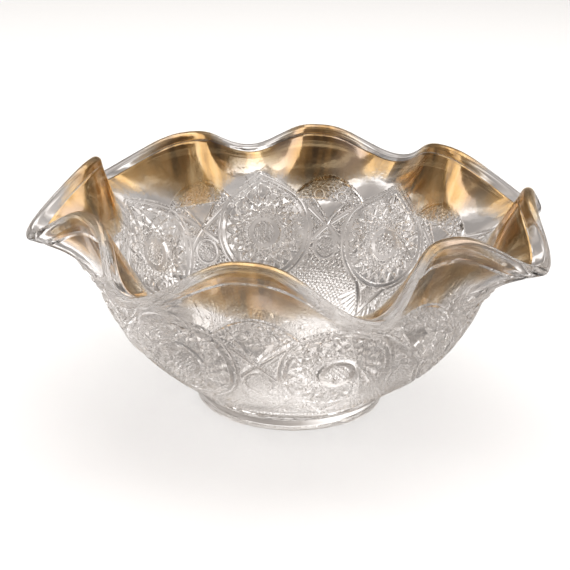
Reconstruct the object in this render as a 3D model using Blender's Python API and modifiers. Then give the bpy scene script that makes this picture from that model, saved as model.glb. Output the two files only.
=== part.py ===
"""A pressed glass bowl with a collar foot, a hand-crimped rim and a fired gold lustre.

Metres, +Z up. The origin is the centre of the foot's resting ring, on the surface it stands on,
and +Z is the bowl's axis. The bowl is modelled the way it is made: it is turned as the mould
presses it, round and plain, and then its upper wall is crimped into eight ruffles. The lustre
is two fired films, one inside the rim and one over its edge, which take the same crimp.
"""

import math
from itertools import pairwise

import bmesh
import bpy
from mathutils import Vector

# The pressing, before it is crimped. The lip's centre is the middle of its rounded edge.
LIP_RADIUS = 0.1003
LIP_HEIGHT = 0.0852
WALL = 0.0046
FLOOR_HEIGHT = 0.0092
FLOOR_FLAT_RADIUS = 0.024

# The collar foot, a ring that stands on its flat lower face.
FOOT_RADIUS = 0.0400
FOOT_HEIGHT = 0.0066
FOOT_FLARE = 0.0010
FOOT_RING_WIDTH = 0.0052
FOOT_EDGE = 0.0006
RECESS_DEPTH = 0.0024

# The wall's middle, from the top of the foot to the lip, as shares of the way out and of the way up.
WALL_COURSE = (
    (0.00, 0.00),
    (0.23, 0.13),
    (0.44, 0.29),
    (0.58, 0.47),
    (0.69, 0.69),
    (0.81, 0.85),
    (1.00, 1.00),
)

# The crimp. Crests are drawn in and up, and troughs are pushed out and down.
RUFFLES = 8
FIRST_CREST_DEGREES = -98.4
CREST_REACH = -0.0085
TROUGH_REACH = 0.0084
CREST_LIFT = 0.0078
TROUGH_LIFT = -0.0078
CREST_BREADTH = 1.3
CRIMP_DEPTH = 0.048
CRIMP_CURVE = 2.0

# What the hand adds to each crest and the trough after it: degrees of turn, then mm out and mm up.
HAND_CRIMP = (
    ((-1, 4, -4), (1, 1, -4)),
    ((0, 1, 0), (-1, 1, 1)),
    ((1, 3, 1), (0, -1, 0)),
    ((3, -4, 2), (3, -3, 4)),
    ((2, 1, 2), (-2, -1, 4)),
    ((-2, -2, 1), (0, 2, -2)),
    ((-3, -4, 2), (1, -1, 0)),
    ((-2, 1, -1), (0, 2, -2)),
)

# The lustre films. Each lies on the glass with a small clearance.
FILM = 0.0003
CLEARANCE = 0.0003
BAND_TOP = 0.0034
BAND_DEPTH = 0.030
GILT_INNER_DEPTH = 0.0030
GILT_OUTER_DEPTH = 0.0010

# How finely the shapes are divided.
TURN_STEPS = 80
LIP_STEPS = 4
BAND_STEPS = 5
LOWER_WALL_STEPS = 8
FLOOR_STEPS = 3
COURSE_STEPS = 12
MM = 0.001


def empty_scene():
    for thing in list(bpy.data.objects):
        bpy.data.objects.remove(thing, do_unlink=True)


def collection_named(name):
    made = bpy.data.collections.new(name)
    bpy.context.scene.collection.children.link(made)
    return made


def clear_glass():
    material = bpy.data.materials.new("clear_glass")
    material.use_nodes = True
    shader = material.node_tree.nodes["Principled BSDF"]
    shader.inputs["Base Color"].default_value = (0.80, 0.77, 0.74, 1.0)
    shader.inputs["Roughness"].default_value = 0.04
    shader.inputs["Metallic"].default_value = 0.0
    shader.inputs["IOR"].default_value = 1.52
    shader.inputs["Transmission Weight"].default_value = 0.9
    return material


def gold_lustre(name, colour, roughness):
    material = bpy.data.materials.new(name)
    material.use_nodes = True
    shader = material.node_tree.nodes["Principled BSDF"]
    shader.inputs["Base Color"].default_value = (*colour, 1.0)
    shader.inputs["Roughness"].default_value = roughness
    shader.inputs["Metallic"].default_value = 1.0
    return material


def smooth_course(points, steps):
    """A Catmull-Rom curve through the points, with `steps` spans between neighbours."""
    padded = [points[0] * 2 - points[1], *points, points[-1] * 2 - points[-2]]
    curve = []
    for before, start, end, after in zip(padded, padded[1:], padded[2:], padded[3:]):
        for step in range(steps):
            t = step / steps
            curve.append(
                0.5 * (2 * start + (end - before) * t
                       + (2 * before - 5 * start + 4 * end - after) * t ** 2
                       + (3 * start - before - 3 * end + after) * t ** 3)
            )
    curve.append(points[-1])
    return curve


class Wall:
    """The middle of the wall as a curve in the plane of radius and height, measured down from the lip."""

    def __init__(self):
        start = Vector((FOOT_RADIUS - FOOT_FLARE, FOOT_HEIGHT + WALL / 2))
        span = Vector((LIP_RADIUS, LIP_HEIGHT)) - start
        points = [start + Vector((span.x * out, span.y * up)) for out, up in WALL_COURSE]
        self.curve = list(reversed(smooth_course(points, COURSE_STEPS)))
        self.reached = [0.0]
        for above, below in pairwise(self.curve):
            self.reached.append(self.reached[-1] + (below - above).length)
        self.length = self.reached[-1]

    def at(self, depth, offset):
        """The point this far down the wall and this far out of its middle. Inwards is negative."""
        span = 0
        while span < len(self.curve) - 2 and self.reached[span + 1] < depth:
            span += 1
        above, below = self.curve[span], self.curve[span + 1]
        share = (depth - self.reached[span]) / (self.reached[span + 1] - self.reached[span])
        down = (below - above).normalized()
        return above.lerp(below, share) + Vector((-down.y, down.x)) * offset

    def lip_arc(self, radius):
        """The rounded edge from the inner face, over the top, to the outer face."""
        centre = self.at(0.0, 0.0)
        inward = (self.at(0.0, -1.0) - centre).normalized()
        onward = Vector((inward.y, -inward.x))
        turns = [math.pi * step / LIP_STEPS for step in range(LIP_STEPS + 1)]
        return [centre + (inward * math.cos(turn) + onward * math.sin(turn)) * radius for turn in turns]


def band_depths():
    """Depths down the wall where the lustre band and the glass behind it share their rings."""
    step = (BAND_DEPTH - BAND_TOP) / BAND_STEPS
    return [BAND_TOP + step * number for number in range(BAND_STEPS + 1)]


def wall_depths(wall):
    """Depths of all the rings of the wall, from the one under the lip to the one above the foot."""
    top = band_depths()
    step = (wall.length - BAND_DEPTH) / LOWER_WALL_STEPS
    return top + [BAND_DEPTH + step * number for number in range(1, LOWER_WALL_STEPS + 1)]


def floor_outline(wall):
    """The inside of the bowl's floor, from the axis to the foot of the wall."""
    edge = wall.at(wall.length, -WALL / 2)
    flat = Vector((FLOOR_FLAT_RADIUS, FLOOR_HEIGHT))
    sweep = [flat.lerp(edge, step / FLOOR_STEPS) for step in range(1, FLOOR_STEPS)]
    for point in sweep:
        share = (point.x - flat.x) / (edge.x - flat.x)
        point.y = FLOOR_HEIGHT + (edge.y - FLOOR_HEIGHT) * share ** 2
    return [Vector((0.0, FLOOR_HEIGHT)), flat, *sweep]


def foot_outline():
    """The foot from under the wall, down its flared side, over the ring and into the recess."""
    neck = FOOT_RADIUS - FOOT_FLARE
    ring_inside = FOOT_RADIUS - FOOT_RING_WIDTH
    return [
        Vector((neck, FOOT_HEIGHT - FOOT_EDGE)),
        Vector((FOOT_RADIUS, 2 * FOOT_EDGE)),
        Vector((FOOT_RADIUS - FOOT_EDGE / 3, FOOT_EDGE / 2)),
        Vector((FOOT_RADIUS - FOOT_EDGE, 0.0)),
        Vector((ring_inside, 0.0)),
        Vector((ring_inside - RECESS_DEPTH / 2, RECESS_DEPTH)),
        Vector((0.0, RECESS_DEPTH)),
    ]


def glass_outline(wall):
    depths = wall_depths(wall)
    inside = [wall.at(depth, -WALL / 2) for depth in reversed(depths)]
    outside = [wall.at(depth, WALL / 2) for depth in depths]
    return [*floor_outline(wall), *inside, *wall.lip_arc(WALL / 2), *outside, *foot_outline()]


def film_outline(covered, outer):
    """A closed loop round a film: its face towards the glass and back along its free face."""
    return [*covered, *reversed(outer), covered[0]]


def band_outline(wall):
    near = WALL / 2 + CLEARANCE
    depths = band_depths()
    covered = [wall.at(depth, -near) for depth in depths]
    free = [wall.at(depth, -near - FILM) for depth in depths]
    return film_outline(covered, free)


def gilt_outline(wall):
    """The film over the lip, from the top of the band to just below the lip outside."""
    near = WALL / 2 + CLEARANCE

    def face(offset):
        return [
            wall.at(GILT_INNER_DEPTH, -offset),
            *wall.lip_arc(offset),
            wall.at(GILT_OUTER_DEPTH, offset),
        ]

    return film_outline(list(reversed(face(near))), list(reversed(face(near + FILM))))


def turned(name, outline):
    """The outline turned round the Z axis, as a mesh object with nothing left on it."""
    mesh = bpy.data.meshes.new(name + "_outline")
    mesh.from_pydata([(point.x, 0.0, point.y) for point in outline],
                     [(n, n + 1) for n in range(len(outline) - 1)], [])
    thing = bpy.data.objects.new(name, mesh)
    bpy.context.scene.collection.objects.link(thing)
    screw = thing.modifiers.new("turn", "SCREW")
    screw.steps = TURN_STEPS
    screw.render_steps = TURN_STEPS
    screw.use_merge_vertices = True
    screw.merge_threshold = 0.00001
    graph = bpy.context.evaluated_depsgraph_get()
    solid = bpy.data.meshes.new_from_object(thing.evaluated_get(graph))
    thing.modifiers.clear()
    thing.data = solid
    solid.name = name
    bpy.data.meshes.remove(mesh)
    bpy.context.scene.collection.objects.unlink(thing)
    return thing


def split_faces(bowl_mesh):
    """Cuts every four-sided face along the diagonal that climbs anticlockwise.

    The crimp twists these faces, so a film stays clear of the glass only if both are cut alike.
    """
    work = bmesh.new()
    work.from_mesh(bowl_mesh)
    bmesh.ops.remove_doubles(work, verts=work.verts, dist=0.00001)
    for face in [face for face in work.faces if len(face.verts) == 4]:
        first, second, third, fourth = face.verts
        ends = first, third
        turn = first.co.x * third.co.y - first.co.y * third.co.x
        if turn * (third.co.z - first.co.z) < 0.0:
            ends = second, fourth
        bmesh.utils.face_split(face, *ends)
    work.to_mesh(bowl_mesh)
    work.free()


def crimp_stations():
    """(angle, reach, lift) of every crest and trough in turn, in radians and metres."""
    pitch = 2 * math.pi / RUFFLES
    first = math.radians(FIRST_CREST_DEGREES)
    stations = []
    for number in range(RUFFLES):
        crest_hand, trough_hand = HAND_CRIMP[number % len(HAND_CRIMP)]
        middle = first + number * pitch
        for angle, reach, lift, (turn, out, up) in (
            (middle, CREST_REACH, CREST_LIFT, crest_hand),
            (middle + pitch / 2, TROUGH_REACH, TROUGH_LIFT, trough_hand),
        ):
            stations.append((angle + math.radians(turn), reach + out * MM, lift + up * MM))
    return stations


def crimp_at(angle, stations):
    """(reach, lift) of the lip at this angle, eased from each crest to its troughs."""
    first = stations[0][0]
    angle = first + (angle - first) % (2 * math.pi)
    closed = [*stations, (first + 2 * math.pi, *stations[0][1:])]
    for number, (start, end) in enumerate(pairwise(closed)):
        if angle <= end[0]:
            break
    share = (angle - start[0]) / (end[0] - start[0])
    if number % 2 == 0:
        eased = (1 - math.cos(math.pi * share ** CREST_BREADTH)) / 2
    else:
        eased = (1 + math.cos(math.pi * (1 - share) ** CREST_BREADTH)) / 2
    return [start[axis] + (end[axis] - start[axis]) * eased for axis in (1, 2)]


def crimp(bowl_mesh, wall, stations):
    """Moves the upper wall out and up by the crimp, from nothing at its depth to all of it at the lip."""
    lip = wall.at(0.0, 0.0)
    slope = (lip - wall.at(CRIMP_DEPTH, 0.0)).normalized()
    for vertex in bowl_mesh.vertices:
        radius = math.hypot(vertex.co.x, vertex.co.y)
        below = (lip - Vector((radius, vertex.co.z))).dot(slope)
        share = min(max(1 - below / CRIMP_DEPTH, 0.0), 1.0)
        if share == 0.0:
            continue
        angle = math.atan2(vertex.co.y, vertex.co.x)
        reach, lift = crimp_at(angle, stations)
        weight = share ** CRIMP_CURVE
        radius += reach * weight
        vertex.co.x = radius * math.cos(angle)
        vertex.co.y = radius * math.sin(angle)
        vertex.co.z += lift * weight


def crimped_piece(name, outline, material, collection, wall, stations):
    piece = turned(name, outline)
    split_faces(piece.data)
    crimp(piece.data, wall, stations)
    piece.data.shade_smooth()
    piece.data.set_sharp_from_angle(angle=math.radians(50))
    piece.data.materials.append(material)
    collection.objects.link(piece)
    return piece


def main():
    empty_scene()
    bowl = collection_named("carnival_glass_bowl")
    wall = Wall()
    stations = crimp_stations()
    band = gold_lustre("amber_gold_lustre", (0.62, 0.42, 0.20), 0.18)
    edge = gold_lustre("burnished_gold_edge", (0.70, 0.48, 0.22), 0.15)
    crimped_piece("pressed_glass_bowl", glass_outline(wall), clear_glass(), bowl, wall, stations)
    crimped_piece("inner_lustre_band", band_outline(wall), band, bowl, wall, stations)
    crimped_piece("lip_edge_gilding", gilt_outline(wall), edge, bowl, wall, stations)


main()
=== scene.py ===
"""Looks of a pressed glass bowl with a hand-crimped rim and a fired gold lustre.

Metres, +Z up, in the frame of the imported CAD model. Three pieces are built here, one for each CAD
node: the glass with its pressed pattern in relief, the lustre inside the rim and the gilding over
the lip. All three are turned from one wall curve and then crimped alike, as in the CAD.
"""

import math

import bpy
import numpy as np
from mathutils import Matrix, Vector


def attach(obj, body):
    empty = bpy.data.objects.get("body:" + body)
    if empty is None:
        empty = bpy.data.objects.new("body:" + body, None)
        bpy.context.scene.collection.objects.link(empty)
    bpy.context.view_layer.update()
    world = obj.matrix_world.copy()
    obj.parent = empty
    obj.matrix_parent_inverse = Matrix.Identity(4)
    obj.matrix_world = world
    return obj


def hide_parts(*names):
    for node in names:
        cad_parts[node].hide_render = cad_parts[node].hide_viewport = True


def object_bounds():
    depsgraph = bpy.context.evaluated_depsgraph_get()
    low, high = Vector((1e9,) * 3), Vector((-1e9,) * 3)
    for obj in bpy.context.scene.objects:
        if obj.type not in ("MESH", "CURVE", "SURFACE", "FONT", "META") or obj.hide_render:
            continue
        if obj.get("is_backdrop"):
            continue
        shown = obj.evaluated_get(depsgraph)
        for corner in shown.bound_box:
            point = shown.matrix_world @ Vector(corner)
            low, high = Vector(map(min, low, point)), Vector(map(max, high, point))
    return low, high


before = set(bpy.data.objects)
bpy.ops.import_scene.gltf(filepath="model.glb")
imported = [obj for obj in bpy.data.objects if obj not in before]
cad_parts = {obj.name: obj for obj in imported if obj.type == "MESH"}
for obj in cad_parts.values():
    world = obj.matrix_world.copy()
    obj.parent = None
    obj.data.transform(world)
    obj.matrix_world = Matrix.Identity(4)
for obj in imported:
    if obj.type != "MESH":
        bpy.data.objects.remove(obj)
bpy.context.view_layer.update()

MM = 0.001

# The bowl's shape, as in the CAD. Only the troughs reach 0.4 mm less, because this mesh is rounder than
# the CAD's facets and has to stay in its box.
LIP_RADIUS = 0.1003
LIP_HEIGHT = 0.0852
WALL = 0.0046
FLOOR_HEIGHT = 0.0092
FLOOR_FLAT_RADIUS = 0.024
FOOT_RADIUS = 0.0400
FOOT_HEIGHT = 0.0066
FOOT_FLARE = 0.0010
FOOT_RING_WIDTH = 0.0052
FOOT_EDGE = 0.0006
RECESS_DEPTH = 0.0024
WALL_COURSE = (
    (0.00, 0.00),
    (0.23, 0.13),
    (0.44, 0.29),
    (0.58, 0.47),
    (0.69, 0.69),
    (0.81, 0.85),
    (1.00, 1.00),
)
RUFFLES = 8
FIRST_CREST_DEGREES = -98.4
CREST_REACH = -0.0085
TROUGH_REACH = 0.0080
CREST_LIFT = 0.0078
TROUGH_LIFT = -0.0078
CREST_BREADTH = 1.3
CRIMP_DEPTH = 0.048
CRIMP_CURVE = 2.0
# For each ruffle, its crest's and its trough's own (turn in degrees, mm out, mm up).
HAND_CRIMP = (
    ((-1, 4, -4), (1, 1, -4)),
    ((0, 1, 0), (-1, 1, 1)),
    ((1, 3, 1), (0, -1, 0)),
    ((3, -4, 2), (3, -3, 4)),
    ((2, 1, 2), (-2, -1, 4)),
    ((-2, -2, 1), (0, 2, -2)),
    ((-3, -4, 2), (1, -1, 0)),
    ((-2, 1, -1), (0, 2, -2)),
)

# The films' places are the CAD's. They are thinner and nearer to the glass than the CAD's.
FILM = 0.000075
CLEARANCE = 0.00012
BAND_TOP = 0.0034
BAND_DEPTH = 0.030
GILT_INNER_DEPTH = 0.0030
GILT_OUTER_DEPTH = 0.0010

# How finely the meshes are cut: steps in metres, the others are counts.
COLUMNS = 1680
FILM_COLUMNS = 720
RELIEF_START = 0.0006
RELIEF_STEP = 0.00036
INSIDE_STEP = 0.0016
BAND_STEP = 0.0010
GILT_INNER_START = 0.0004
GILT_STEP = 0.0005
LIP_STEPS = 12
FLOOR_STEPS = 10
RECESS_STEPS = 36
COURSE_STEPS = 24
SHARP_DEGREES = 26
WELD_DISTANCE = 0.000001
AXIS_RADIUS = 0.0006
FLOOR_RADII = (AXIS_RADIUS, 0.008, 0.016, FLOOR_FLAT_RADIUS)

# How much the place of the lustre's streaks changes down the wall: little, so they run down it.
STREAK_SQUEEZE = 0.006

# The star under the floor: V-cut rays that narrow outwards and are shallow at the hub.
STAR_RAYS = 24
STAR_DEPTH = 0.0019
STAR_TAPER = 1.6
STAR_HUB = 0.12
STAR_LEAST_BREADTH = 0.02

# The foot's side, as mm out from its neck and mm down from its top: a bead, a hollow and a flare.
FOOT_SIDE = ((-0.4, 0.1), (0.2, 0.5), (0.4, 1.0), (0.2, 1.5), (0.1, 2.2), (0.3, 3.4), (0.7, 4.6))
# The foot's ring and its inside edge are eased by these.
FOOT_BOW = 0.00005
FOOT_EASE = 0.0002
FOOT_EASE_UP = 0.0003


def smooth_course(points, steps):
    """A Catmull-Rom curve through the points, with `steps` spans between neighbours."""
    points = np.array(points, float)
    padded = np.vstack([2 * points[0] - points[1], points, 2 * points[-1] - points[-2]])
    curve = []
    for before, start, end, after in zip(padded, padded[1:], padded[2:], padded[3:]):
        for step in range(steps):
            t = step / steps
            curve.append(
                0.5 * (2 * start + (end - before) * t
                       + (2 * before - 5 * start + 4 * end - after) * t ** 2
                       + (3 * start - before - 3 * end + after) * t ** 3)
            )
    curve.append(points[-1])
    return np.array(curve)


class Wall:
    """The middle of the wall as a curve of radius and height, measured down from the lip."""

    def __init__(self):
        start = np.array([FOOT_RADIUS - FOOT_FLARE, FOOT_HEIGHT + WALL / 2])
        span = np.array([LIP_RADIUS, LIP_HEIGHT]) - start
        self.curve = smooth_course([start + span * np.array(p) for p in WALL_COURSE], COURSE_STEPS)[::-1]
        lengths = np.linalg.norm(np.diff(self.curve, axis=0), axis=1)
        self.reached = np.concatenate([[0.0], np.cumsum(lengths)])
        self.length = self.reached[-1]
        tangent = np.gradient(self.curve, self.reached, axis=0)
        self.tangent = tangent / np.linalg.norm(tangent, axis=1)[:, None]

    def at(self, depth, offset):
        """(radius, height) this far down the wall and this far out of its middle."""
        radius = np.interp(depth, self.reached, self.curve[:, 0])
        height = np.interp(depth, self.reached, self.curve[:, 1])
        out = np.interp(depth, self.reached, self.tangent[:, 0])
        up = np.interp(depth, self.reached, self.tangent[:, 1])
        return radius - up * offset, height + out * offset

    def lip_arc(self, offset, steps):
        """Points of the rounded edge from the inner face over the top to the outer face."""
        centre = np.array(self.at(0.0, 0.0))
        inward = np.array(self.at(0.0, -1.0)) - centre
        onward = np.array([inward[1], -inward[0]])
        turns = np.linspace(0.0, math.pi, steps + 1)
        return [centre + (inward * math.cos(t) + onward * math.sin(t)) * offset for t in turns]


WALL_CURVE = Wall()


def crimp_stations():
    """Angle, reach and lift of every crest and trough in turn, and the first again at the end."""
    pitch = 2 * math.pi / RUFFLES
    first = math.radians(FIRST_CREST_DEGREES)
    stations = []
    for number in range(RUFFLES):
        crest_hand, trough_hand = HAND_CRIMP[number]
        middle = first + number * pitch
        for angle, reach, lift, (turn, out, up) in (
            (middle, CREST_REACH, CREST_LIFT, crest_hand),
            (middle + pitch / 2, TROUGH_REACH, TROUGH_LIFT, trough_hand),
        ):
            stations.append((angle + math.radians(turn), reach + out * MM, lift + up * MM))
    stations.append((stations[0][0] + 2 * math.pi, *stations[0][1:]))
    return np.array(stations)


STATIONS = crimp_stations()


def ruffle_phase(angle):
    """Where an angle lies among the ruffles: a whole number at a crest, a half at a trough."""
    first = STATIONS[0, 0]
    turned = first + np.mod(angle - first, 2 * math.pi)
    return np.interp(turned, STATIONS[:, 0], np.arange(len(STATIONS)) / 2)


def crimp_at(angle):
    """The reach and the lift of the lip at each angle, eased from each crest to its troughs."""
    phase = ruffle_phase(angle) * 2
    start = np.minimum(phase.astype(int), len(STATIONS) - 2)
    share = phase - start
    falling = (1 - np.cos(math.pi * share ** CREST_BREADTH)) / 2
    rising = (1 + np.cos(math.pi * (1 - share) ** CREST_BREADTH)) / 2
    eased = np.where(start % 2 == 0, falling, rising)
    return [STATIONS[start, axis] + (STATIONS[start + 1, axis] - STATIONS[start, axis]) * eased
            for axis in (1, 2)]


def crimped(angle, radius, height):
    """The points of a turned surface after the crimp of the upper wall."""
    lip = np.array(WALL_CURVE.at(0.0, 0.0))
    slope = lip - np.array(WALL_CURVE.at(CRIMP_DEPTH, 0.0))
    slope /= np.linalg.norm(slope)
    below = (lip[0] - radius) * slope[0] + (lip[1] - height) * slope[1]
    weight = np.clip(1 - below / CRIMP_DEPTH, 0.0, 1.0) ** CRIMP_CURVE
    reach, lift = crimp_at(angle)
    radius = radius + reach * weight
    return np.stack([radius * np.cos(angle), radius * np.sin(angle), height + lift * weight], axis=-1)


# The pressed pattern. This section is in mm and degrees. x runs round the bowl from the middle of a
# medallion and y down the wall from it; side is the way from the middle of the spandrel between two
# medallions; reach is the radius of the pointed frame through a point. Levels and heights stand out
# of the wall. Where a motif has a table, its keys are the arguments of the function that draws it.
REPEATS = 8
PITCH_DEGREES = 360.0 / REPEATS
FIRST_MEDALLION_DEGREES = 10.5
MM_PER_DEGREE = 1.36
HALF_PITCH = PITCH_DEGREES / 2 * MM_PER_DEGREE
MEDALLION_DEPTH = 45.0
# How much lower and further round the pattern sits at the front of the bowl than at its back.
PATTERN_DROP = 6.5
PATTERN_TWIST = 3.0
FOOT_FADE = 2.0

GROUND_LEVEL = -0.55
GROUND_DIAMONDS = {"pitch": 1.9, "height": 0.95}

FAN_LEAST = 0.2
SPANDREL_FAN = {"pitch": 11.25, "level": -0.45, "height": 0.9, "soft": 6.0}
SPANDREL_FAN_Y = -2.0
SPANDREL_FAN_TOP = -1.0
SPANDREL_FAN_RADIUS = 12.0
SPANDREL_FAN_FIRST_DEGREES = 12.0
FOOT_FAN = {"pitch": 10.0, "level": -0.4, "height": 0.85, "soft": 5.0}
FOOT_FAN_Y = 20.0
FOOT_FAN_TOP = 21.5
FOOT_FAN_RADIUS = 19.0
FOOT_FAN_LAST_DEGREES = 62.0

BUTTON_RISE = 0.5
SPANDREL_BUTTON = {"level": 0.1, "dome": 5.0, "pitch": 1.1, "height": 0.6}
SPANDREL_BUTTON_Y = 6.0
SPANDREL_BUTTON_RADIUS = 4.6
SPANDREL_RING_RADIUS = 5.5
SPANDREL_RING_HALF_WIDTH = 1.0
SPANDREL_RING_HEIGHT = 0.55

STRAP_START_Y = -28.0
STRAP_SLOPE = 0.78
STRAP_BEND_AT = 28.0
STRAP_BEND = 0.014
STRAP_LEVEL = 0.15
STRAP_HALF_WIDTH = 1.5
STRAP_HEIGHT = 0.75
STRAP_LEAST_RADIUS = 21.5
STRAP_LEAST_ROUND = 17.0
STRAP_END_Y = 42.0

FACET_SLOPE = (0.80, 0.60)
FACET_TIP_DEPTH = 39.5
FACET_TOP_DEPTH = 29.5
FACET_END_DEPTH = 40.0
FACET_LEVEL = -0.25
RIB_HALF_WIDTH = 0.9
RIB_LEVEL = 0.1
RIB_HEIGHT = 0.7
RIB_TOP_DEPTH = 28.5
RIB_END_DEPTH = 40.5

EYE_SIDE = 5.0
EYE_DEPTH = 27.0
EYE_RADIUS = 3.0
EYE_LEVEL = 0.15
EYE_RING_RADIUS = 2.15
EYE_RING_HALF_WIDTH = 0.95
EYE_RING_HEIGHT = 0.8
EYE_HOLLOW_RADIUS = 1.5
EYE_HOLLOW = 0.9

MEDALLION_BUTTON = {"level": 0.35, "dome": 5.2, "pitch": 1.5, "height": 0.8}
MEDALLION_BUTTON_RADIUS = 4.75
FLAT_SLOPE = 2.4
INNER_RING = {"radius": 6.2, "level": 0.2, "half_width": 1.45, "height": 0.8}
INNER_RING_EDGE = 7.65
STAR_LEVEL = 0.55
STAR_CUTS = {"points": 20, "inner": 8.4, "depth": 1.25, "half_width": 0.95}
PETAL_START = 14.0
PETAL_LENGTH = 5.0
PETAL_RISE = 0.35
STAR_RADIUS = 19.4

DART_LEVEL = -0.35
DART_HEIGHT = 0.55
DART_MIDDLE_HALF_WIDTH = 1.6
DART_SIDE_HALF_WIDTH = 1.0
DART_START_Y = -28.0
DART_SPREAD = 0.42

FRAME_LEAN = 0.788
FRAME_RING = {"radius": 20.3, "level": 0.1, "half_width": 1.3, "height": 0.85}
FRAME_INNER_EDGE = 19.0
FRAME_SPLIT = 21.6
FRAME_OUTER_EDGE = 23.6
FRAME_BEVEL_REACH = 22.6
FRAME_BEVEL_LEVEL = 0.1
FRAME_BEVEL_HALF_WIDTH = 1.1
FRAME_BEVEL_HEIGHT = 0.6
FRAME_BEVEL_END_Y = 20.0
BEAD_PITCH = 2.4
BEAD_HEIGHT = 0.35
BEAD_STRAIGHT_HALF_WIDTH = 13.5
BEAD_MM_PER_DEGREE = 0.35
BEAD_OUTER_REACH = 20.9
BEAD_END_Y = -13.0

ARCH_TOP_DEPTH = 18.8
ARCH_DROP = 9.5
ARCH_HALF_WIDTH = 16.5
NO_ARCH_DEPTH = 99.0
POINT_ABOVE_MEDALLION = 28.0 / 22.0 * 23.6
POINT_SLOPE = 0.781
PLAIN_EDGE_WIDTH = 0.8
ARCH_BEVEL_WIDTH = 2.2
ARCH_BEVEL_LEVEL = 0.75
ARCH_BEVEL_FALL = 1.5
LIP_LINE_DEPTH = 5.2
LIP_LINE_HALF_WIDTH = 1.1
LIP_LINE_CUT = 0.45


def ridge(distance, half_width, height):
    """A ridge with flat sides along distance 0."""
    return height * np.clip(1 - np.abs(distance) / half_width, 0.0, None)


def roll(distance, half_width, height):
    """A rounded ridge along distance 0."""
    return height * np.sqrt(np.clip(1 - (distance / half_width) ** 2, 0.0, None))


def wave(place, pitch):
    """A row of V-cuts `pitch` apart: 0 in the cuts and 1 midway between them."""
    return 1 - np.abs(2 * (place / pitch - np.floor(place / pitch)) - 1)


def step_in(value, edge, width):
    """0 below the edge and 1 above it, with a slope of that width between."""
    return np.clip((value - edge) / width + 0.5, 0.0, 1.0)


def diamonds(x, y, pitch, height):
    """File-cut diamonds: two rows of V-cuts that cross."""
    diagonal = pitch * 1.41
    return height * np.minimum(wave(x + y, diagonal), wave(x - y, diagonal))


def button(x, y, distance, level, dome, pitch, height):
    """A dome, at this distance from its middle, cut with diamonds."""
    rise = BUTTON_RISE * np.clip(1 - (distance / dome) ** 2, 0.0, None)
    return level + rise + diamonds(x, y, pitch, height)


def flat_ring(distance, radius, level, half_width, height):
    """A ring with a flat top and steep sides."""
    return level + np.clip(FLAT_SLOPE * (half_width - np.abs(distance - radius)), 0.0, height)


def fan(along, across, pitch, level, height, soft):
    """Rays that spread from (0, 0) and are flatter near it, with each point's turn and distance."""
    turn = np.degrees(np.arctan2(across, along))
    distance = np.hypot(along, across)
    return level + height * wave(turn, pitch) * np.clip(distance / soft, FAN_LEAST, 1.0), turn, distance


def star_cuts(x, y, points, inner, depth, half_width):
    """The field of a cut star: straight V-cuts, each at the same distance from the centre."""
    cut = np.zeros_like(x)
    for number in range(points):
        turn = 2 * math.pi * number / points
        across = x * math.cos(turn) + y * math.sin(turn) - inner
        cut = np.maximum(cut, ridge(across, half_width, depth))
    return -cut


def frame_reach(x, y):
    """The radius of the pointed frame through each point: a circle with two tangents that meet above."""
    along = math.sqrt(1 - FRAME_LEAN ** 2)
    tangent = np.maximum(np.abs(x) * along - y * FRAME_LEAN, 0.0)
    return np.where(-y > FRAME_LEAN / along * np.abs(x), tangent, np.hypot(x, y))


class PatternPlace:
    """Where points of the wall lie in their repeat of the pattern."""

    def __init__(self, angle, lip_depth):
        pulled = (1 - np.sin(angle)) / 2
        turned = np.degrees(angle) - PATTERN_TWIST * pulled - FIRST_MEDALLION_DEGREES
        self.x = (np.mod(turned + PITCH_DEGREES / 2, PITCH_DEGREES) - PITCH_DEGREES / 2) * MM_PER_DEGREE
        self.lip_depth = lip_depth
        self.depth = lip_depth - PATTERN_DROP * pulled
        self.y = self.depth - MEDALLION_DEPTH
        self.side = HALF_PITCH - np.abs(self.x)
        self.radius = np.hypot(self.x, self.y)
        self.reach = frame_reach(self.x, self.y)


def ground(at):
    """Fine diamonds, with a fan of rays in each spandrel and one below each medallion."""
    relief = GROUND_LEVEL + diamonds(at.x, at.y, **GROUND_DIAMONDS)
    rays, turn, distance = fan(at.side, at.y - SPANDREL_FAN_Y, **SPANDREL_FAN)
    there = (distance < SPANDREL_FAN_RADIUS) & (turn > SPANDREL_FAN_FIRST_DEGREES)
    relief = np.where(there & (at.y > SPANDREL_FAN_TOP), rays, relief)
    rays, turn, distance = fan(at.y - FOOT_FAN_Y, np.abs(at.x), **FOOT_FAN)
    there = (distance < FOOT_FAN_RADIUS) & (turn < FOOT_FAN_LAST_DEGREES)
    return np.where(there & (at.y > FOOT_FAN_TOP), rays, relief)


def with_spandrel_button(relief, at):
    """The small ringed button low in each spandrel."""
    distance = np.hypot(at.side, at.y - SPANDREL_BUTTON_Y)
    dome = button(at.side, at.y, distance, **SPANDREL_BUTTON)
    relief = np.where(distance < SPANDREL_BUTTON_RADIUS, dome, relief)
    off = distance - SPANDREL_RING_RADIUS
    ring = roll(off, SPANDREL_RING_HALF_WIDTH, SPANDREL_RING_HEIGHT)
    return np.where(np.abs(off) < SPANDREL_RING_HALF_WIDTH, ring, relief)


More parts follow.
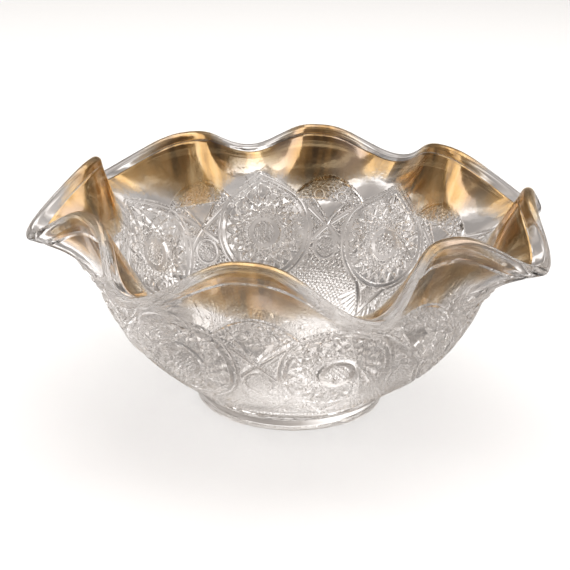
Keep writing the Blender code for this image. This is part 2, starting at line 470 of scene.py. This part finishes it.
def with_straps(relief, at):
    """The bands that carry on from each frame across the spandrel and down round the next medallion."""
    for way_round in (np.abs(at.x), 2 * HALF_PITCH - np.abs(at.x)):
        bent = np.clip(way_round - STRAP_BEND_AT, 0.0, None)
        course = STRAP_START_Y + STRAP_SLOPE * way_round + STRAP_BEND * bent ** 2
        off = (at.y - course) / np.hypot(1.0, STRAP_SLOPE + 2 * STRAP_BEND * bent)
        strap = STRAP_LEVEL + roll(off, STRAP_HALF_WIDTH, STRAP_HEIGHT)
        there = (np.abs(off) < STRAP_HALF_WIDTH) & (way_round > STRAP_LEAST_ROUND)
        there &= (at.radius > STRAP_LEAST_RADIUS) & (at.y < STRAP_END_Y)
        relief = np.where(there, strap, relief)
    return relief


def with_facet(relief, at):
    """The plain facet that points down between two ribs."""
    edge = at.side * FACET_SLOPE[0] - (FACET_TIP_DEPTH - at.depth) * FACET_SLOPE[1]
    there = (edge < 0.0) & (at.depth > FACET_TOP_DEPTH) & (at.depth < FACET_END_DEPTH)
    relief = np.where(there, FACET_LEVEL, relief)
    there = (np.abs(edge) < RIB_HALF_WIDTH) & (at.depth > RIB_TOP_DEPTH) & (at.depth < RIB_END_DEPTH)
    return np.where(there, RIB_LEVEL + ridge(edge, RIB_HALF_WIDTH, RIB_HEIGHT), relief)


def with_eyes(relief, at):
    """The pair of bull's eyes over the facet."""
    distance = np.hypot(at.side - EYE_SIDE, at.depth - EYE_DEPTH)
    ring = roll(distance - EYE_RING_RADIUS, EYE_RING_HALF_WIDTH, EYE_RING_HEIGHT)
    hollow = EYE_HOLLOW * np.clip(1 - distance / EYE_HOLLOW_RADIUS, 0.0, 1.0)
    return np.where(distance < EYE_RADIUS, EYE_LEVEL + ring - hollow, relief)


def with_medallion(relief, at):
    """The star medallion, with its ringed button, and the plain darts under its point."""
    off_side_dart = np.abs(at.x) - (at.y - DART_START_Y) * DART_SPREAD
    darts = DART_LEVEL + ridge(at.x, DART_MIDDLE_HALF_WIDTH, DART_HEIGHT)
    darts = darts + ridge(off_side_dart, DART_SIDE_HALF_WIDTH, DART_HEIGHT)
    petals = PETAL_RISE * np.clip((at.radius - PETAL_START) / PETAL_LENGTH, 0.0, 1.0)
    star = STAR_LEVEL + star_cuts(at.x, at.y, **STAR_CUTS) + petals
    relief = np.where(at.reach < STAR_RADIUS, darts, relief)
    relief = np.where(at.radius < STAR_RADIUS, star, relief)
    relief = np.where(at.radius < INNER_RING_EDGE, flat_ring(at.radius, **INNER_RING), relief)
    dome = button(at.x, at.y, at.radius, **MEDALLION_BUTTON)
    return np.where(at.radius < MEDALLION_BUTTON_RADIUS, dome, relief)


def with_frame(relief, at):
    """The pointed double frame: a flat ring, beaded where it is pointed, and a bevel round it."""
    round_frame = np.degrees(np.arctan2(at.x, at.y)) * BEAD_MM_PER_DEGREE
    along = np.where(np.abs(at.x) < BEAD_STRAIGHT_HALF_WIDTH, at.y, round_frame)
    beaded = (at.reach < BEAD_OUTER_REACH) & (at.y < BEAD_END_Y)
    ring = flat_ring(at.reach, **FRAME_RING) + BEAD_HEIGHT * wave(along, BEAD_PITCH) * beaded
    relief = np.where((at.reach >= FRAME_INNER_EDGE) & (at.reach < FRAME_SPLIT), ring, relief)
    bevel = roll(at.reach - FRAME_BEVEL_REACH, FRAME_BEVEL_HALF_WIDTH, FRAME_BEVEL_HEIGHT)
    there = (at.reach >= FRAME_SPLIT) & (at.reach < FRAME_OUTER_EDGE) & (at.y < FRAME_BEVEL_END_Y)
    return np.where(there, FRAME_BEVEL_LEVEL + bevel, relief)


def with_plain_top(relief, at):
    """Takes the pattern away above the points and the arches, and runs a bevel along each arch."""
    arch = ARCH_TOP_DEPTH + ARCH_DROP * np.clip(at.side / ARCH_HALF_WIDTH, 0.0, 1.0) ** 2
    arch = np.where(at.side < ARCH_HALF_WIDTH, arch, NO_ARCH_DEPTH)
    point = MEDALLION_DEPTH - POINT_ABOVE_MEDALLION + POINT_SLOPE * np.abs(at.x)
    below = at.depth - np.minimum(arch, point)
    plain = 1 - step_in(below, 0.0, PLAIN_EDGE_WIDTH)
    on_bevel = (below > 0.0) & (below < ARCH_BEVEL_WIDTH) & (arch < point)
    bevel = ARCH_BEVEL_LEVEL - ARCH_BEVEL_FALL * below / ARCH_BEVEL_WIDTH
    return np.where(on_bevel, bevel, relief * (1 - plain))


def pattern_relief(angle, depth):
    """The height in mm of the pressed pattern at each angle, in radians, and depth, in mm."""
    at = PatternPlace(angle, depth)
    relief = ground(at)
    for motif in (with_spandrel_button, with_straps, with_facet, with_eyes, with_medallion, with_frame):
        relief = motif(relief, at)
    relief = with_plain_top(relief, at)
    relief = relief - ridge(at.lip_depth - LIP_LINE_DEPTH, LIP_LINE_HALF_WIDTH, LIP_LINE_CUT)
    return relief * np.clip((WALL_CURVE.length / MM - at.lip_depth) / FOOT_FADE, 0.0, 1.0)


# Meshes.

def ring_mesh(name, rings, capped):
    """A mesh object from closed rings of points; capped closes the first and the last to a point."""
    count = rings.shape[1]
    points = rings.reshape(-1, 3)
    here = np.arange(count)
    onward = np.roll(here, -1)
    rows = np.arange(len(rings) - 1)[:, None] * count
    quads = np.stack([rows + here, rows + count + here, rows + count + onward, rows + onward], axis=-1)
    quads = quads.reshape(-1, 4)
    loops = [quads.ravel()]
    sizes = [np.full(len(quads), 4)]
    if capped:
        top, bottom = len(points), len(points) + 1
        ends = [rings[0].mean(axis=0), rings[-1].mean(axis=0)]
        points = np.vstack([points, ends])
        last = (len(rings) - 1) * count
        first_cap = np.stack([here, onward, np.full(count, top)], axis=-1)
        last_cap = np.stack([last + onward, last + here, np.full(count, bottom)], axis=-1)
        loops += [first_cap.ravel(), last_cap.ravel()]
        sizes += [np.full(count, 3), np.full(count, 3)]
    loops = np.concatenate(loops).astype(np.int32)
    sizes = np.concatenate(sizes)
    starts = np.concatenate([[0], np.cumsum(sizes)[:-1]]).astype(np.int32)
    mesh = bpy.data.meshes.new(name)
    mesh.vertices.add(len(points))
    mesh.vertices.foreach_set("co", points.astype(np.float32).ravel())
    mesh.loops.add(len(loops))
    mesh.loops.foreach_set("vertex_index", loops)
    mesh.polygons.add(len(sizes))
    mesh.polygons.foreach_set("loop_start", starts)
    mesh.polygons.foreach_set("use_smooth", np.ones(len(sizes), bool))
    mesh.update(calc_edges=True)
    mesh.validate()
    thing = bpy.data.objects.new(name, mesh)
    bpy.context.scene.collection.objects.link(thing)
    return thing


def column_angles(count):
    """The angles of that many columns, evenly round the bowl."""
    return np.arange(count) * (2 * math.pi / count)


def plain_ring(angle, radius, height):
    """A ring of one radius and height, crimped."""
    return crimped(angle, np.full_like(angle, radius), np.full_like(angle, height))


def recess_rings(angle):
    """The underside inside the foot's ring, with a star of V-cuts pressed up into it."""
    edge = FOOT_RADIUS - FOOT_RING_WIDTH - RECESS_DEPTH / 2
    off_ray = 1 - wave(np.degrees(angle), 360.0 / STAR_RAYS)
    rings = []
    for radius in np.linspace(edge, AXIS_RADIUS, RECESS_STEPS):
        share = radius / edge
        breadth = min(max(1.0 - share, 0.0) * STAR_TAPER, 1.0)
        deepest = STAR_DEPTH * min(share / STAR_HUB, 1.0)
        ray = np.clip(1 - off_ray / max(breadth, STAR_LEAST_BREADTH), 0.0, 1.0)
        height = RECESS_DEPTH + deepest * breadth * ray
        rings.append(crimped(angle, np.full_like(angle, radius), height))
    return rings


def foot_rings(angle):
    """The flared side of the foot with its beaded top edge, its rounded resting ring and the inside edge."""
    neck = FOOT_RADIUS - FOOT_FLARE
    inside = FOOT_RADIUS - FOOT_RING_WIDTH
    course = [(neck + out * MM, FOOT_HEIGHT - down * MM) for out, down in FOOT_SIDE]
    course += [
        (FOOT_RADIUS, 2 * FOOT_EDGE),
        (FOOT_RADIUS - FOOT_BOW, FOOT_EDGE),
        (FOOT_RADIUS - FOOT_EDGE / 3, FOOT_EDGE / 3),
        (FOOT_RADIUS - FOOT_EDGE, 0.0),
        (inside + FOOT_EASE, 0.0),
        (inside - FOOT_EASE, FOOT_EASE_UP),
        (inside - RECESS_DEPTH / 2 + FOOT_EASE, RECESS_DEPTH - FOOT_EASE_UP),
    ]
    return [plain_ring(angle, radius, height) for radius, height in course]


def floor_rings(angle):
    """The inside of the floor from the axis to the foot of the wall."""
    edge = np.array(WALL_CURVE.at(WALL_CURVE.length, -WALL / 2))
    rings = [plain_ring(angle, radius, FLOOR_HEIGHT) for radius in FLOOR_RADII]
    for step in range(1, FLOOR_STEPS):
        share = step / FLOOR_STEPS
        radius = FLOOR_FLAT_RADIUS + (edge[0] - FLOOR_FLAT_RADIUS) * share
        rings.append(plain_ring(angle, radius, FLOOR_HEIGHT + (edge[1] - FLOOR_HEIGHT) * share ** 2))
    return rings


def wall_rings(angle, depths, offset, relief=None):
    """Rings of one face of the wall at these depths; relief(angle, depth in mm) stands out of it, in mm."""
    rings = []
    for depth in depths:
        out = np.full_like(angle, offset)
        if relief is not None:
            out = out + relief(angle, np.full_like(angle, depth / MM)) * MM
        radius, height = WALL_CURVE.at(np.full_like(angle, depth), out)
        rings.append(crimped(angle, radius, height))
    return rings


def lip_rings(angle, offset):
    """The rounded edge of the lip, this far out of the middle of the wall."""
    return [plain_ring(angle, *point) for point in WALL_CURVE.lip_arc(offset, LIP_STEPS)]


def steps_between(start, end, step):
    """Even steps from the start to the end, each about as long as asked."""
    return np.linspace(start, end, max(int(round((end - start) / step)), 1) + 1)


def glass_bowl():
    """The glass: floor, smooth inside, lip, patterned outside, foot and underside in one closed skin."""
    angle = column_angles(COLUMNS)
    length = WALL_CURVE.length
    rings = floor_rings(angle)
    rings += wall_rings(angle, steps_between(0.0, length, INSIDE_STEP)[::-1][:-1], -WALL / 2)
    rings += lip_rings(angle, WALL / 2)
    rings += wall_rings(angle, steps_between(RELIEF_START, length, RELIEF_STEP), WALL / 2, pattern_relief)
    rings += foot_rings(angle)
    rings += recess_rings(angle)
    bowl = ring_mesh("pressed_bowl", np.array(rings), capped=True)
    bowl.data.set_sharp_from_angle(angle=math.radians(SHARP_DEGREES))
    return bowl


def film(name, near_rings, far_rings):
    """A closed film between two faces that share their angles."""
    rings = np.array([*near_rings, *far_rings[::-1], near_rings[0]])
    piece = ring_mesh(name, rings, capped=False)
    weld = piece.modifiers.new("weld", "WELD")
    weld.merge_threshold = WELD_DISTANCE
    return piece


def store_place(piece, angle, across):
    """Keeps, at each point of a film, where it lies.

    crest is 1 on a ruffle's crest and 0 in its trough. down is the measure handed in for one face,
    which the other face and the closing ring repeat. fired is a place whose noise runs down the wall.
    """
    down = np.concatenate([across, across[::-1], across[:1]])
    angle = np.tile(angle, len(down))
    down = np.repeat(down, len(angle) // len(down))
    crest = (1 + np.cos(2 * math.pi * ruffle_phase(angle))) / 2
    around = LIP_RADIUS * np.cos(angle), LIP_RADIUS * np.sin(angle)
    fired = np.stack([*around, down * STREAK_SQUEEZE], axis=-1)
    for name, kind, key, values in (
        ("crest", "FLOAT", "value", crest),
        ("down", "FLOAT", "value", down),
        ("fired", "FLOAT_VECTOR", "vector", fired),
    ):
        made = piece.data.attributes.new(name, kind, "POINT")
        made.data.foreach_set(key, values.astype(np.float32).ravel())


def lustre_band():
    """The lustre inside the ruffled rim."""
    angle = column_angles(FILM_COLUMNS)
    depths = steps_between(BAND_TOP, BAND_DEPTH, BAND_STEP)
    near = wall_rings(angle, depths, -WALL / 2 - CLEARANCE)
    far = wall_rings(angle, depths, -WALL / 2 - CLEARANCE - FILM)
    piece = film("lustre_band", near, far)
    store_place(piece, angle, depths / BAND_DEPTH)
    return piece


def gilt_face(angle, offset):
    """One face of the gilding, from inside the lip over its top to the outside."""
    inner_depths = steps_between(GILT_INNER_START, GILT_INNER_DEPTH, GILT_STEP)[::-1]
    inner = wall_rings(angle, inner_depths, -offset)
    outer = wall_rings(angle, [GILT_STEP, GILT_OUTER_DEPTH], offset)
    return [*inner, *lip_rings(angle, offset), *outer]


def lip_gilding():
    """The gold over the edge of the lip."""
    angle = column_angles(FILM_COLUMNS)
    near = gilt_face(angle, WALL / 2 + CLEARANCE)
    far = gilt_face(angle, WALL / 2 + CLEARANCE + FILM)
    piece = film("lip_gilding", near, far)
    store_place(piece, angle, np.linspace(0.0, 1.0, len(near)))
    return piece


# Materials. The scales of noise are per metre. A ramp is a list of (place, colour).

GLASS_COLOUR = (0.955, 0.94, 0.925)
GLASS_IOR = 1.52
GLASS_WEAR_SCALE = 90.0
GLASS_WEAR = (0.35, 0.7, 0.0, 0.03)
GLASS_RIPPLE_SCALE = 160.0
GLASS_RIPPLE = 0.00006

LUSTRE_TINT = (0.97, 0.86, 0.66)
STREAK_SCALE = 170.0
CLOUD_SCALE = 34.0
GRAIN_SCALE = 900.0
BLUSH_SCALE = 24.0
GOLD = (
    (0.38, (0.20, 0.115, 0.045)),
    (0.45, (0.50, 0.30, 0.105)),
    (0.53, (0.80, 0.51, 0.19)),
    (0.64, (0.95, 0.74, 0.42)),
)
BLUSH_COLOUR = (0.76, 0.66, 0.64)
BLUSH = (0.52, 0.62, 0.0, 0.75)
LUSTRE_ROUGHNESS = (0.3, 0.7, 0.06, 0.26)
COAT_ROUGHNESS = 0.03
COAT_IOR = 1.7
STREAK_BUMP = 0.00012
TONE_SHARES = (0.6, 0.4)
RAGGED_SHARES = (0.7, 0.3)
# How far the film covers the glass, from none to COVER_MOST, as its thickness goes between two values.
COVER_MOST = 0.55
BAND_SHARES = (0.60, 0.6)
BAND_COVER = (-0.22, 0.20, 0.0, COVER_MOST)
GILT_FADE = 0.55
GILT_RAGGED = 0.5
GILT_COVER = (0.45, 1.1, 0.0, COVER_MOST)

# Where the Mix node keeps its sockets for colours.
MIX_FACTOR, MIX_FIRST_COLOUR, MIX_SECOND_COLOUR = 0, 6, 7
MIX_COLOUR = 2


def new_material(name):
    """A material with its node tree and its shader."""
    material = bpy.data.materials.new(name)
    material.use_nodes = True
    return material, material.node_tree, material.node_tree.nodes["Principled BSDF"]


def opaque(colour):
    """A colour with its alpha."""
    return (*colour, 1.0)


def noise(tree, scale, detail, vector):
    """A noise texture's value at a place."""
    node = tree.nodes.new("ShaderNodeTexNoise")
    node.inputs["Scale"].default_value = scale
    node.inputs["Detail"].default_value = detail
    tree.links.new(vector, node.inputs["Vector"])
    return node.outputs["Fac"]


def ramp(tree, factor, stops):
    """The colour that a value has on a ramp."""
    node = tree.nodes.new("ShaderNodeValToRGB")
    elements = node.color_ramp.elements
    while len(elements) < len(stops):
        elements.new(0.5)
    for element, (place, colour) in zip(elements, stops):
        element.position = place
        element.color = opaque(colour)
    tree.links.new(factor, node.inputs["Fac"])
    return node.outputs["Color"]


def remap(tree, value, low, high, to_low, to_high):
    """A value's place between low and high, carried over to another range."""
    node = tree.nodes.new("ShaderNodeMapRange")
    for name, number in (("From Min", low), ("From Max", high), ("To Min", to_low), ("To Max", to_high)):
        node.inputs[name].default_value = number
    tree.links.new(value, node.inputs["Value"])
    return node.outputs["Result"]


def combine(tree, operation, first, second):
    """Arithmetic on two values; a sum or a product is kept between 0 and 1."""
    node = tree.nodes.new("ShaderNodeMath")
    node.operation = operation
    node.use_clamp = operation in {"MULTIPLY", "ADD"}
    for socket, value in zip(node.inputs, (first, second)):
        if isinstance(value, (int, float)):
            socket.default_value = value
        else:
            tree.links.new(value, socket)
    return node.outputs["Value"]


def weighted(tree, first, second, shares):
    """The sum of two values, each times its share."""
    parts = [combine(tree, "MULTIPLY", value, share) for value, share in zip((first, second), shares)]
    return combine(tree, "ADD", *parts)


def attribute(tree, name, output="Fac"):
    """What is stored at the mesh's points under this name."""
    node = tree.nodes.new("ShaderNodeAttribute")
    node.attribute_name = name
    return node.outputs[output]


def object_place(tree):
    """The place of a point on its object."""
    return tree.nodes.new("ShaderNodeTexCoord").outputs["Object"]


def mix_colours(tree, share, first, colour):
    """The first colour, a socket, with a share of a plain one."""
    node = tree.nodes.new("ShaderNodeMix")
    node.data_type = "RGBA"
    tree.links.new(share, node.inputs[MIX_FACTOR])
    tree.links.new(first, node.inputs[MIX_FIRST_COLOUR])
    node.inputs[MIX_SECOND_COLOUR].default_value = opaque(colour)
    return node.outputs[MIX_COLOUR]


def mix_shaders(tree, share, first, second):
    """Gives the surface the first shader with a share of the second."""
    node = tree.nodes.new("ShaderNodeMixShader")
    tree.links.new(share, node.inputs["Fac"])
    tree.links.new(first, node.inputs[1])
    tree.links.new(second, node.inputs[2])
    tree.links.new(node.outputs["Shader"], tree.nodes["Material Output"].inputs["Surface"])


def bump(tree, shader, height, distance):
    """Gives the shader a bump of this depth."""
    node = tree.nodes.new("ShaderNodeBump")
    node.inputs["Distance"].default_value = distance
    tree.links.new(height, node.inputs["Height"])
    tree.links.new(node.outputs["Normal"], shader.inputs["Normal"])


def glass_material():
    """Pressed crystal: clear and faintly warm, with the slight ripple and the wear of a mould."""
    material, tree, shader = new_material("clear_pressed_glass")
    shader.inputs["Base Color"].default_value = opaque(GLASS_COLOUR)
    shader.inputs["Transmission Weight"].default_value = 1.0
    shader.inputs["IOR"].default_value = GLASS_IOR
    place = object_place(tree)
    wear = remap(tree, noise(tree, GLASS_WEAR_SCALE, 4.0, place), *GLASS_WEAR)
    tree.links.new(wear, shader.inputs["Roughness"])
    bump(tree, shader, noise(tree, GLASS_RIPPLE_SCALE, 2.0, place), GLASS_RIPPLE)
    return material


def film_cover(tree, ragged, gilding):
    """How far a film covers the glass: the band is thin in the troughs and ends at its lower edge."""
    crest = attribute(tree, "crest")
    down = attribute(tree, "down")
    if gilding:
        reach = combine(tree, "SUBTRACT", crest, combine(tree, "MULTIPLY", down, GILT_FADE))
        thick = combine(tree, "ADD", reach, combine(tree, "MULTIPLY", ragged, GILT_RAGGED))
        return remap(tree, thick, *GILT_COVER)
    thick = combine(tree, "SUBTRACT", weighted(tree, crest, ragged, BAND_SHARES), down)
    return remap(tree, thick, *BAND_COVER)


def lustre_material(name, gilding=False):
    """Fired gold lustre: a metal film in streaks from brown to gold, with a blush of pink in places."""
    material, tree, shader = new_material(name)
    place = object_place(tree)
    streaks = noise(tree, STREAK_SCALE, 4.0, attribute(tree, "fired", "Vector"))
    clouds = noise(tree, CLOUD_SCALE, 4.0, place)
    grain = noise(tree, GRAIN_SCALE, 2.0, place)
    tone = weighted(tree, streaks, clouds, TONE_SHARES)
    blush = remap(tree, noise(tree, BLUSH_SCALE, 2.0, place), *BLUSH)
    colour = mix_colours(tree, blush, ramp(tree, tone, GOLD), BLUSH_COLOUR)
    tree.links.new(colour, shader.inputs["Base Color"])
    tree.links.new(remap(tree, clouds, *LUSTRE_ROUGHNESS), shader.inputs["Roughness"])
    shader.inputs["Metallic"].default_value = 1.0
    shader.inputs["Coat Weight"].default_value = 1.0
    shader.inputs["Coat Roughness"].default_value = COAT_ROUGHNESS
    shader.inputs["Coat IOR"].default_value = COAT_IOR
    bump(tree, shader, streaks, STREAK_BUMP)
    cover = film_cover(tree, weighted(tree, tone, grain, RAGGED_SHARES), gilding)
    through = tree.nodes.new("ShaderNodeBsdfTransparent")
    tint = ramp(tree, cover, ((0.0, (1.0, 1.0, 1.0)), (COVER_MOST, LUSTRE_TINT)))
    tree.links.new(tint, through.inputs["Color"])
    mix_shaders(tree, cover, through.outputs["BSDF"], shader.outputs["BSDF"])
    return material


def give(piece, material, node_name):
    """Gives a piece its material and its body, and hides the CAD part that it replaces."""
    piece.data.materials.clear()
    piece.data.materials.append(material)
    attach(piece, "root")
    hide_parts(node_name)


# The setting.

FLOOR_REACH = 6.0
FLOOR_GAP = 0.0001
FLOOR_COLOUR = (0.94, 0.94, 0.94)
FLOOR_GLOW = 0.40
# What the floor gives to every ray but the camera's is painted light and shade: a glowing mottle from near
# black to bright, and over it a painted pool of one pale colour by the distance in metres from the bowl's
# axis.
MOTTLE_SCALE = 16.0
MOTTLE_SHIFT = (0.71, 0.33, 0.0)
MOTTLE = (
    (0.39, (0.030, 0.024, 0.020)),
    (0.47, (0.15, 0.125, 0.108)),
    (0.56, (0.40, 0.36, 0.325)),
    (0.63, (1.60, 1.55, 1.52)),
)
POOL_COLOUR = (0.88, 0.83, 0.80)
POOL = ((0.0, 0.28), (0.09, 0.28), (0.13, 0.12), (0.18, 0.42), (0.32, 0.42), (0.44, 0.0))

# The light from all round, from straight down to straight up.
SKY = (
    (0.00, (0.55, 0.52, 0.50)),
    (0.12, (0.22, 0.20, 0.185)),
    (0.35, (0.09, 0.078, 0.068)),
    (0.60, (0.26, 0.23, 0.205)),
    (1.00, (0.44, 0.41, 0.38)),
)
# Each softbox's name, place, aim, width, height, power and colour.
SOFTBOXES = (
    ("softbox_top", (0.1, 0.25, 1.5), (0.0, 0.0, 0.0), 1.8, 1.4, 13.0, (1.0, 1.0, 1.0)),
    ("softbox_left", (-1.3, -0.5, 0.9), (0.0, 0.0, 0.05), 0.9, 1.2, 5.6, (1.0, 0.97, 0.96)),
    ("softbox_right", (1.3, -0.1, 0.8), (0.0, 0.0, 0.05), 0.8, 1.1, 4.6, (1.0, 0.97, 0.95)),
)

# The camera stands 25 degrees above the bowl's foot. Its turn about X, Y and Z is how far it looks up
# from straight down, its roll and its aim.
CAMERA_PLACE = (0.0, -0.49914, 0.23275)
CAMERA_TURN_DEGREES = (69.75845, -1.28369, 0.82156)
LENS = 79.09
SENSOR_WIDTH = 36.0

BOUNCES = 24
GLOSSY_BOUNCES = 16


def link_new(name, data):
    """A new object in the scene."""
    thing = bpy.data.objects.new(name, data)
    bpy.context.scene.collection.objects.link(thing)
    return thing


def mottled_light(tree):
    """The light that the floor gives to the glass and the lustre."""
    shifted = tree.nodes.new("ShaderNodeVectorMath")
    shifted.inputs[1].default_value = MOTTLE_SHIFT
    tree.links.new(object_place(tree), shifted.inputs[0])
    mottle = ramp(tree, noise(tree, MOTTLE_SCALE, 1.0, shifted.outputs["Vector"]), MOTTLE)
    away = tree.nodes.new("ShaderNodeVectorMath")
    away.operation = "LENGTH"
    tree.links.new(object_place(tree), away.inputs[0])
    # A painted pool of pale light round the bowl's axis, laid over the painted mottle of light and shade.
    pool = ramp(tree, away.outputs["Value"], [(reach, (share,) * 3) for reach, share in POOL])
    light = tree.nodes.new("ShaderNodeEmission")
    tree.links.new(mix_colours(tree, pool, mottle, POOL_COLOUR), light.inputs["Color"])
    return light.outputs["Emission"]


def floor_material():
    """Plain white paper to the camera. The glass and the lustre gather a mottled light from it instead,
    which stands for the dark and the bright parts of a studio and draws the facets."""
    material, tree, shader = new_material("pale_floor")
    shader.inputs["Base Color"].default_value = opaque(FLOOR_COLOUR)
    shader.inputs["Roughness"].default_value = 0.8
    shader.inputs["Specular IOR Level"].default_value = 0.1
    shader.inputs["Emission Color"].default_value = opaque((1.0, 1.0, 1.0))
    shader.inputs["Emission Strength"].default_value = FLOOR_GLOW
    seen = tree.nodes.new("ShaderNodeLightPath").outputs["Is Camera Ray"]
    mix_shaders(tree, seen, mottled_light(tree), shader.outputs["BSDF"])
    return material


def floor():
    """A wide plain floor just under the bowl."""
    mesh = bpy.data.meshes.new("studio_floor")
    corners = [(x * FLOOR_REACH, y * FLOOR_REACH, 0) for x, y in ((-1, -1), (1, -1), (1, 1), (-1, 1))]
    mesh.from_pydata(corners, [], [(0, 1, 2, 3)])
    thing = link_new("studio_floor", mesh)
    mesh.materials.append(floor_material())
    thing.location.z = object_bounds()[0][2] - FLOOR_GAP
    thing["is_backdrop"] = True


def softbox(name, place, aim, width, height, power, colour):
    """A rectangular light that faces its aim."""
    data = bpy.data.lights.new(name, "AREA")
    data.shape = "RECTANGLE"
    data.size = width
    data.size_y = height
    data.energy = power
    data.color = colour
    thing = link_new(name, data)
    thing.location = place
    thing.rotation_euler = (Vector(aim) - Vector(place)).to_track_quat("-Z", "Y").to_euler()


def surroundings():
    """Soft light from all round, darkest a little below the horizon."""
    world = bpy.data.worlds.new("studio")
    world.use_nodes = True
    bpy.context.scene.world = world
    tree = world.node_tree
    background = tree.nodes["Background"]
    split = tree.nodes.new("ShaderNodeSeparateXYZ")
    tree.links.new(tree.nodes.new("ShaderNodeTexCoord").outputs["Generated"], split.inputs["Vector"])
    tree.links.new(ramp(tree, split.outputs["Z"], SKY), background.inputs["Color"])
    background.inputs["Strength"].default_value = 1.0


def camera():
    """The camera, in front of the bowl, above it and rolled a little."""
    data = bpy.data.cameras.new("camera")
    data.lens = LENS
    data.sensor_width = SENSOR_WIDTH
    thing = link_new("camera", data)
    thing.location = CAMERA_PLACE
    thing.rotation_euler = [math.radians(turn) for turn in CAMERA_TURN_DEGREES]
    bpy.context.scene.camera = thing


def settings():
    """How colours are shown, and enough bounces for light to pass through both walls and the films."""
    scene = bpy.context.scene
    scene.view_settings.view_transform = "Standard"
    scene.cycles.denoising_input_passes = "RGB"
    scene.cycles.max_bounces = BOUNCES
    scene.cycles.glossy_bounces = GLOSSY_BOUNCES
    scene.cycles.transmission_bounces = BOUNCES
    scene.cycles.transparent_max_bounces = BOUNCES


def build():
    """The three pieces and their setting."""
    give(glass_bowl(), glass_material(), "pressed_glass_bowl")
    give(lustre_band(), lustre_material("gold_lustre_film"), "inner_lustre_band")
    give(lip_gilding(), lustre_material("gold_edge_film", gilding=True), "lip_edge_gilding")
    floor()
    for box in SOFTBOXES:
        softbox(*box)
    surroundings()
    camera()
    settings()


build()
